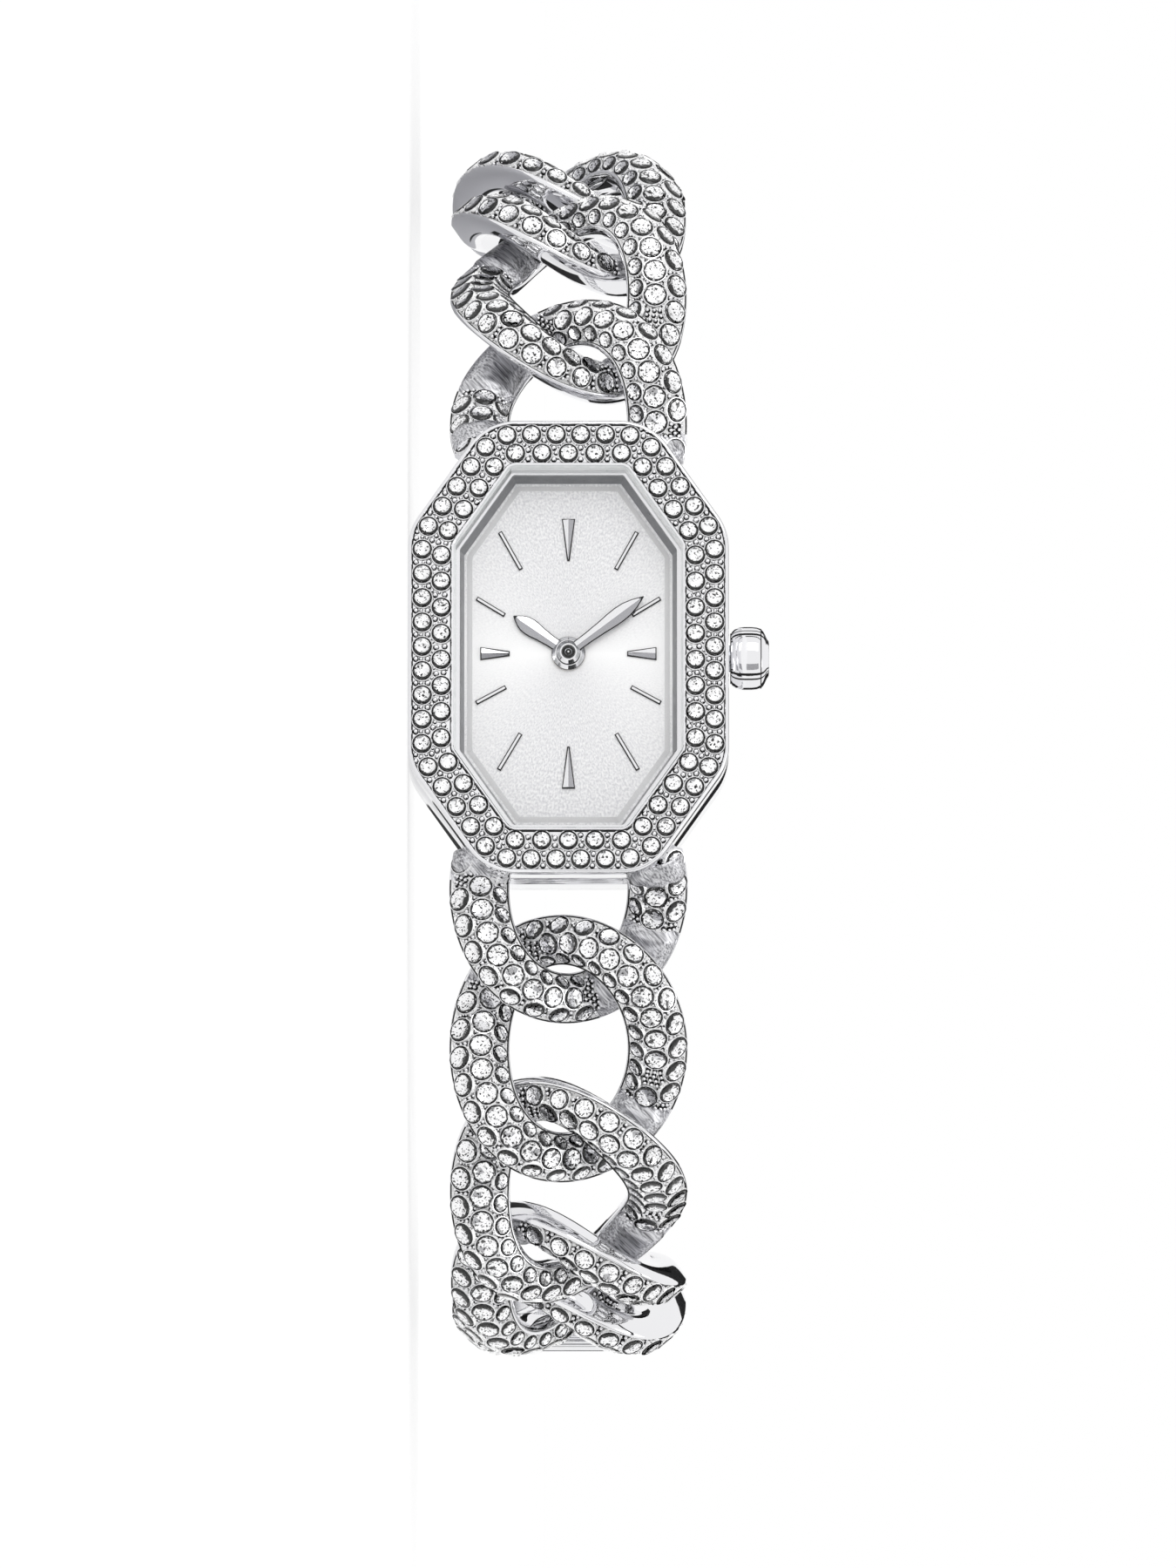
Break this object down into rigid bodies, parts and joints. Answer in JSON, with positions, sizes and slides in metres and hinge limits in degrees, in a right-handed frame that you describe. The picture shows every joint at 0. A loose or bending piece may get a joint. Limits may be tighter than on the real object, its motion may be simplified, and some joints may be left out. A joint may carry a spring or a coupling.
{
  "type": "bracelet watch",
  "caption": "Elongated octagonal quartz watch with a crystal-set bezel, leaf hands, hexagonal crown and a chunky twisted curb-link bracelet with box clasp.",
  "frame": {"origin": "centre of the case back's outer face", "axes": "+Y out of the case back, towards the wrist; -X towards 12 o'clock; +Z towards 3 o'clock, where the crown is, so the watch lies on its 9 o'clock flank with its hinges upright"},
  "size_m": [0.0783, 0.0724, 0.0205],
  "materials": {
    "polished_steel": "polished stainless steel, mirror bright",
    "brushed_steel": "stainless steel with a fine straight brush",
    "crystal": "cut lead crystal on silver foil",
    "mineral_glass": "flat mineral glass, clear",
    "nitrile": "black seal rubber",
    "dial_silver": "silver sunray",
    "flange_grey": "grey satin lacquer",
    "rhodium": "rhodium plate, diamond-cut facets",
    "movement_brass": "gilt brass",
    "gear_brass": "plain brass",
    "carbon_steel": "hardened steel",
    "battery_case": "nickel plate",
    "copper_wire": "enamelled copper winding",
    "circuit_green": "printed circuit laminate",
    "holder_plastic": "moulded plastic"
  },
  "bodies": {
    "case": {"case_middle": "polished_steel", "case_back": "brushed_steel", "case_back_gasket": "nitrile", "bezel": "polished_steel", "bezel_crystals": "crystal", "glass": "mineral_glass", "glass_gasket": "holder_plastic", "flange_ring": "flange_grey", "dial": "dial_silver", "hour_markers": "rhodium", "main_plate": "movement_brass", "train_bridge": "movement_brass", "circuit_board": "circuit_green", "battery": "battery_case", "battery_clamp": "carbon_steel", "coil": "copper_wire", "movement_holder": "holder_plastic", "crown_tube": "carbon_steel", "upper_half_link": "polished_steel", "lower_half_link": "polished_steel"},
    "minute_set": {"minute_hand": "rhodium", "cannon_pinion": "gear_brass"},
    "hour_set": {"hour_hand": "rhodium", "hour_wheel": "gear_brass"},
    "minute_wheel": {"minute_wheel": "gear_brass"},
    "sliding_pinion": {"sliding_pinion": "carbon_steel"},
    "crown_set": {"crown": "polished_steel", "crown_crystal": "crystal", "stem": "carbon_steel"},
    "upper_link_1": {"upper_link_1": "polished_steel"},
    "upper_link_2": {"upper_link_2": "polished_steel"},
    "upper_link_3": {"upper_link_3": "polished_steel"},
    "upper_link_4": {"upper_link_4": "polished_steel"},
    "upper_link_5": {"upper_link_5": "polished_steel"},
    "upper_link_6": {"upper_link_6": "polished_steel"},
    "upper_link_7": {"upper_link_7": "polished_steel"},
    "clasp_box": {"clasp_box": "polished_steel"},
    "lower_link_1": {"lower_link_1": "polished_steel"},
    "lower_link_2": {"lower_link_2": "polished_steel"},
    "lower_link_3": {"lower_link_3": "polished_steel"},
    "lower_link_4": {"lower_link_4": "polished_steel"},
    "lower_link_5": {"lower_link_5": "polished_steel"},
    "lower_link_6": {"lower_link_6": "polished_steel"},
    "lower_link_7": {"lower_link_7": "polished_steel"},
    "clasp_tongue": {"clasp_tongue": "polished_steel", "latch_pin": "carbon_steel"},
    "safety_latch": {"safety_latch": "polished_steel"}
  },
  "joints": [
    {"name": "minute_spin", "type": "hinge", "parent": "case", "child": "minute_set", "pos_m": [0, -0.005, 0], "axis": [0, 1, 0], "continuous": true},
    {"name": "hour_spin", "type": "hinge", "parent": "case", "child": "hour_set", "pos_m": [0, -0.0045, 0], "axis": [0, 1, 0], "continuous": true},
    {"name": "minute_wheel_spin", "type": "hinge", "parent": "case", "child": "minute_wheel", "pos_m": [-0.00232, -0.004, 0.00062], "axis": [0, 1, 0], "continuous": true},
    {"name": "crown_spin", "type": "hinge", "parent": "case", "child": "sliding_pinion", "pos_m": [0, -0.0032, 0.004], "axis": [0, 0, 1], "continuous": true},
    {"name": "crown_pull", "type": "slide", "parent": "sliding_pinion", "child": "crown_set", "axis": [0, 0, 1], "range_m": [0, 0.0008]},
    {"name": "upper_hinge_1", "type": "hinge", "parent": "case", "child": "upper_link_1", "pos_m": [-0.0176, -0.0027, 0], "axis": [0, 0, -1], "range_deg": [-36.4, 1.2]},
    {"name": "upper_hinge_2", "type": "hinge", "parent": "upper_link_1", "child": "upper_link_2", "pos_m": [-0.02484, 0.00264, 0], "axis": [0, 0, -1], "range_deg": [-37.1, 1.2]},
    {"name": "upper_hinge_3", "type": "hinge", "parent": "upper_link_2", "child": "upper_link_3", "pos_m": [-0.02914, 0.01055, 0], "axis": [0, 0, -1], "range_deg": [-33.5, 1.2]},
    {"name": "upper_hinge_4", "type": "hinge", "parent": "upper_link_3", "child": "upper_link_4", "pos_m": [-0.03024, 0.01948, 0], "axis": [0, 0, -1], "range_deg": [-7.1, 24.5]},
    {"name": "upper_hinge_5", "type": "hinge", "parent": "upper_link_4", "child": "upper_link_5", "pos_m": [-0.03209, 0.02829, 0], "axis": [0, 0, -1], "range_deg": [-12, 19.6]},
    {"name": "upper_hinge_6", "type": "hinge", "parent": "upper_link_5", "child": "upper_link_6", "pos_m": [-0.03395, 0.0371, 0], "axis": [0, 0, -1], "range_deg": [-12, 19.6]},
    {"name": "upper_hinge_7", "type": "hinge", "parent": "upper_link_6", "child": "upper_link_7", "pos_m": [-0.0358, 0.0459, 0], "axis": [0, 0, -1], "range_deg": [-12, 19.6]},
    {"name": "upper_hinge_8", "type": "hinge", "parent": "upper_link_7", "child": "clasp_box", "pos_m": [-0.03766, 0.05471, 0], "axis": [0, 0, -1], "range_deg": [-12, 19.6]},
    {"name": "lower_hinge_1", "type": "hinge", "parent": "case", "child": "lower_link_1", "pos_m": [0.0176, -0.0027, 0], "axis": [0, 0, 1], "range_deg": [-17, 1.21]},
    {"name": "lower_hinge_2", "type": "hinge", "parent": "lower_link_1", "child": "lower_link_2", "pos_m": [0.02621, -0.00007, 0], "axis": [0, 0, 1], "range_deg": [-43, 1.21]},
    {"name": "lower_hinge_3", "type": "hinge", "parent": "lower_link_2", "child": "lower_link_3", "pos_m": [0.03223, 0.00662, 0], "axis": [0, 0, 1], "range_deg": [-43, 1.21]},
    {"name": "lower_hinge_4", "type": "hinge", "parent": "lower_link_3", "child": "lower_link_4", "pos_m": [0.03395, 0.01545, 0], "axis": [0, 0, 1], "range_deg": [-31.3, 0.6]},
    {"name": "lower_hinge_5", "type": "hinge", "parent": "lower_link_4", "child": "lower_link_5", "pos_m": [0.03265, 0.02436, 0], "axis": [0, 0, 1], "range_deg": [-12, 18.21]},
    {"name": "lower_hinge_6", "type": "hinge", "parent": "lower_link_5", "child": "lower_link_6", "pos_m": [0.03135, 0.03327, 0], "axis": [0, 0, 1], "range_deg": [-12, 18.21]},
    {"name": "lower_hinge_7", "type": "hinge", "parent": "lower_link_6", "child": "lower_link_7", "pos_m": [0.03005, 0.04217, 0], "axis": [0, 0, 1], "range_deg": [-12, 18.21]},
    {"name": "lower_hinge_8", "type": "hinge", "parent": "lower_link_7", "child": "clasp_tongue", "pos_m": [0.02875, 0.05108, 0], "axis": [0, 0, 1], "range_deg": [-12, 18.21]},
    {"name": "latch_swing", "type": "hinge", "parent": "clasp_tongue", "child": "safety_latch", "pos_m": [0.03027, 0.05625, 0], "axis": [0, 0, -1], "range_deg": [0, 115]}
  ],
  "couplings": [
    {"joint": "hour_spin", "follows": "minute_spin", "ratio": 0.083333},
    {"joint": "minute_wheel_spin", "follows": "minute_spin", "ratio": -0.33333}
  ]
}
